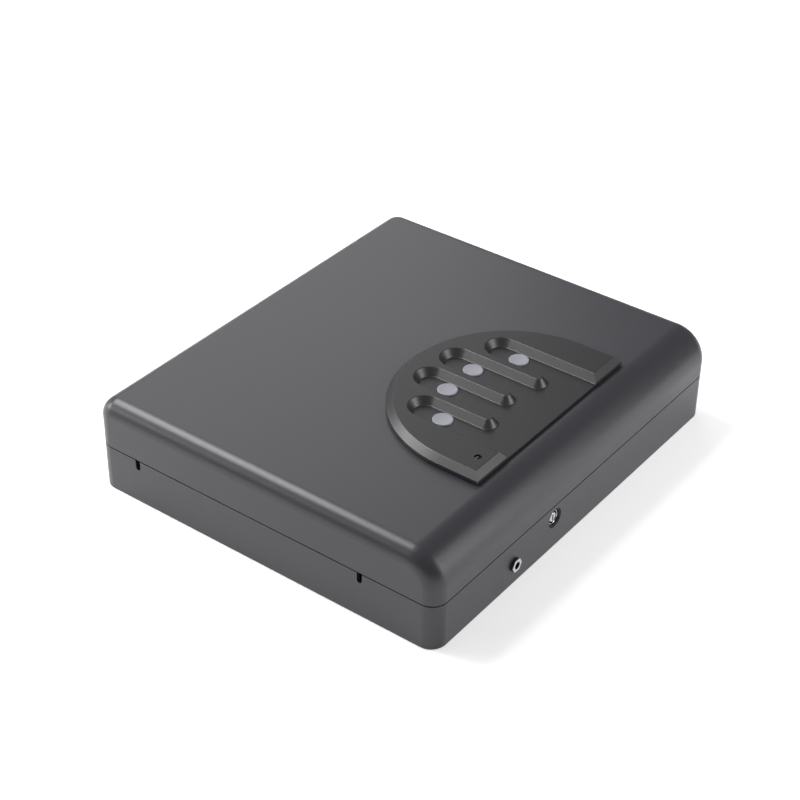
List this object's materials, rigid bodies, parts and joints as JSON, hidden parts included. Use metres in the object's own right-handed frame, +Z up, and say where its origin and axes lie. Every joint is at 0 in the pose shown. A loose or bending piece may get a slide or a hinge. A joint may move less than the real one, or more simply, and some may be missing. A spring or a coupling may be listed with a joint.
{
  "type": "electronic safe",
  "caption": "Flat portable steel safe: hinged lid with a hand-shaped keypad, key lock with sliding latch, power jack and cable slots.",
  "frame": {"origin": "centre of the tray's underside", "axes": "+X to the right seen from the front, -Y the front with the key lock, +Z up"},
  "size_m": [0.3, 0.2649, 0.0708],
  "materials": {
    "powder_coat": "satin graphite powder coat",
    "dark_powder_coat": "matt black powder coat",
    "keypad_plastic": "moulded ABS, satin",
    "button_plastic": "light grey moulded ABS",
    "zinc_plate": "zinc-plated steel",
    "chrome_plate": "polished chrome plate",
    "black_plastic": "black moulded plastic",
    "rubber_seal": "black foam rubber",
    "lens": "smoked red lens",
    "circuit_board": "green circuit board",
    "foam": "grey open-cell foam",
    "coil_winding": "varnished copper winding",
    "cell_sleeve": "printed sleeve, left plain"
  },
  "bodies": {
    "base": {"base_tray": "powder_coat", "inner_rim": "dark_powder_coat", "base_foam": "foam", "latch_housing": "dark_powder_coat", "housing_screw_1": "zinc_plate", "housing_screw_2": "zinc_plate", "lock_bezel": "black_plastic", "lock_barrel": "chrome_plate", "lock_nut": "zinc_plate", "lock_bracket": "zinc_plate", "bolt_guide": "zinc_plate", "solenoid_frame": "zinc_plate", "solenoid_coil": "coil_winding", "power_jack_body": "black_plastic", "power_jack_nut": "chrome_plate", "power_jack_pin": "zinc_plate", "hinge_leaf_base_left": "zinc_plate", "hinge_leaf_base_right": "zinc_plate", "hinge_pin_left": "zinc_plate", "hinge_pin_right": "zinc_plate"},
    "lid": {"lid_shell": "powder_coat", "keypad_gasket": "rubber_seal", "keypad_panel": "keypad_plastic", "status_lens": "lens", "keypad_board": "circuit_board", "lid_inner_cover": "dark_powder_coat", "cover_screw_1": "zinc_plate", "cover_screw_2": "zinc_plate", "cover_screw_3": "zinc_plate", "cover_screw_4": "zinc_plate", "battery_cell_1": "cell_sleeve", "battery_cell_2": "cell_sleeve", "battery_cell_3": "cell_sleeve", "battery_cell_4": "cell_sleeve", "battery_contact_front": "zinc_plate", "battery_contact_rear": "zinc_plate", "striker_plate": "zinc_plate", "striker_screw_1": "zinc_plate", "striker_screw_2": "zinc_plate", "hinge_leaf_lid_left": "zinc_plate", "hinge_leaf_lid_right": "zinc_plate"},
    "key_cylinder": {"lock_plug": "chrome_plate", "lock_cam": "zinc_plate"},
    "latch": {"latch_bolt": "zinc_plate", "solenoid_plunger": "zinc_plate", "plunger_pin": "zinc_plate"},
    "battery_hatch": {"battery_door": "black_plastic"},
    "button_1": {"keypad_button_1": "button_plastic"},
    "button_2": {"keypad_button_2": "button_plastic"},
    "button_3": {"keypad_button_3": "button_plastic"},
    "button_4": {"keypad_button_4": "button_plastic"}
  },
  "joints": [
    {"name": "lid_hinge", "type": "hinge", "parent": "base", "child": "lid", "pos_m": [0, 0.1316, 0.0318], "axis": [-1, 0, 0], "range_deg": [0, 95]},
    {"name": "key_turn", "type": "hinge", "parent": "base", "child": "key_cylinder", "pos_m": [-0.03, -0.127, 0.0223], "axis": [0, 1, 0], "range_deg": [0, 90]},
    {"name": "latch_slide", "type": "slide", "parent": "base", "child": "latch", "axis": [-1, 0, 0], "range_m": [0, 0.00706]},
    {"name": "battery_door_slide", "type": "slide", "parent": "lid", "child": "battery_hatch", "axis": [0, 1, 0], "range_m": [0, 0.008]},
    {"name": "button_1_press", "type": "slide", "parent": "lid", "child": "button_1", "axis": [0, 0, -1], "range_m": [0, 0.0012], "stiffness_N_per_m": 400},
    {"name": "button_2_press", "type": "slide", "parent": "lid", "child": "button_2", "axis": [0, 0, -1], "range_m": [0, 0.0012], "stiffness_N_per_m": 400},
    {"name": "button_3_press", "type": "slide", "parent": "lid", "child": "button_3", "axis": [0, 0, -1], "range_m": [0, 0.0012], "stiffness_N_per_m": 400},
    {"name": "button_4_press", "type": "slide", "parent": "lid", "child": "button_4", "axis": [0, 0, -1], "range_m": [0, 0.0012], "stiffness_N_per_m": 400}
  ],
  "couplings": [
    {"joint": "key_turn", "follows": "latch_slide", "rad_per_m": 222.2}
  ]
}
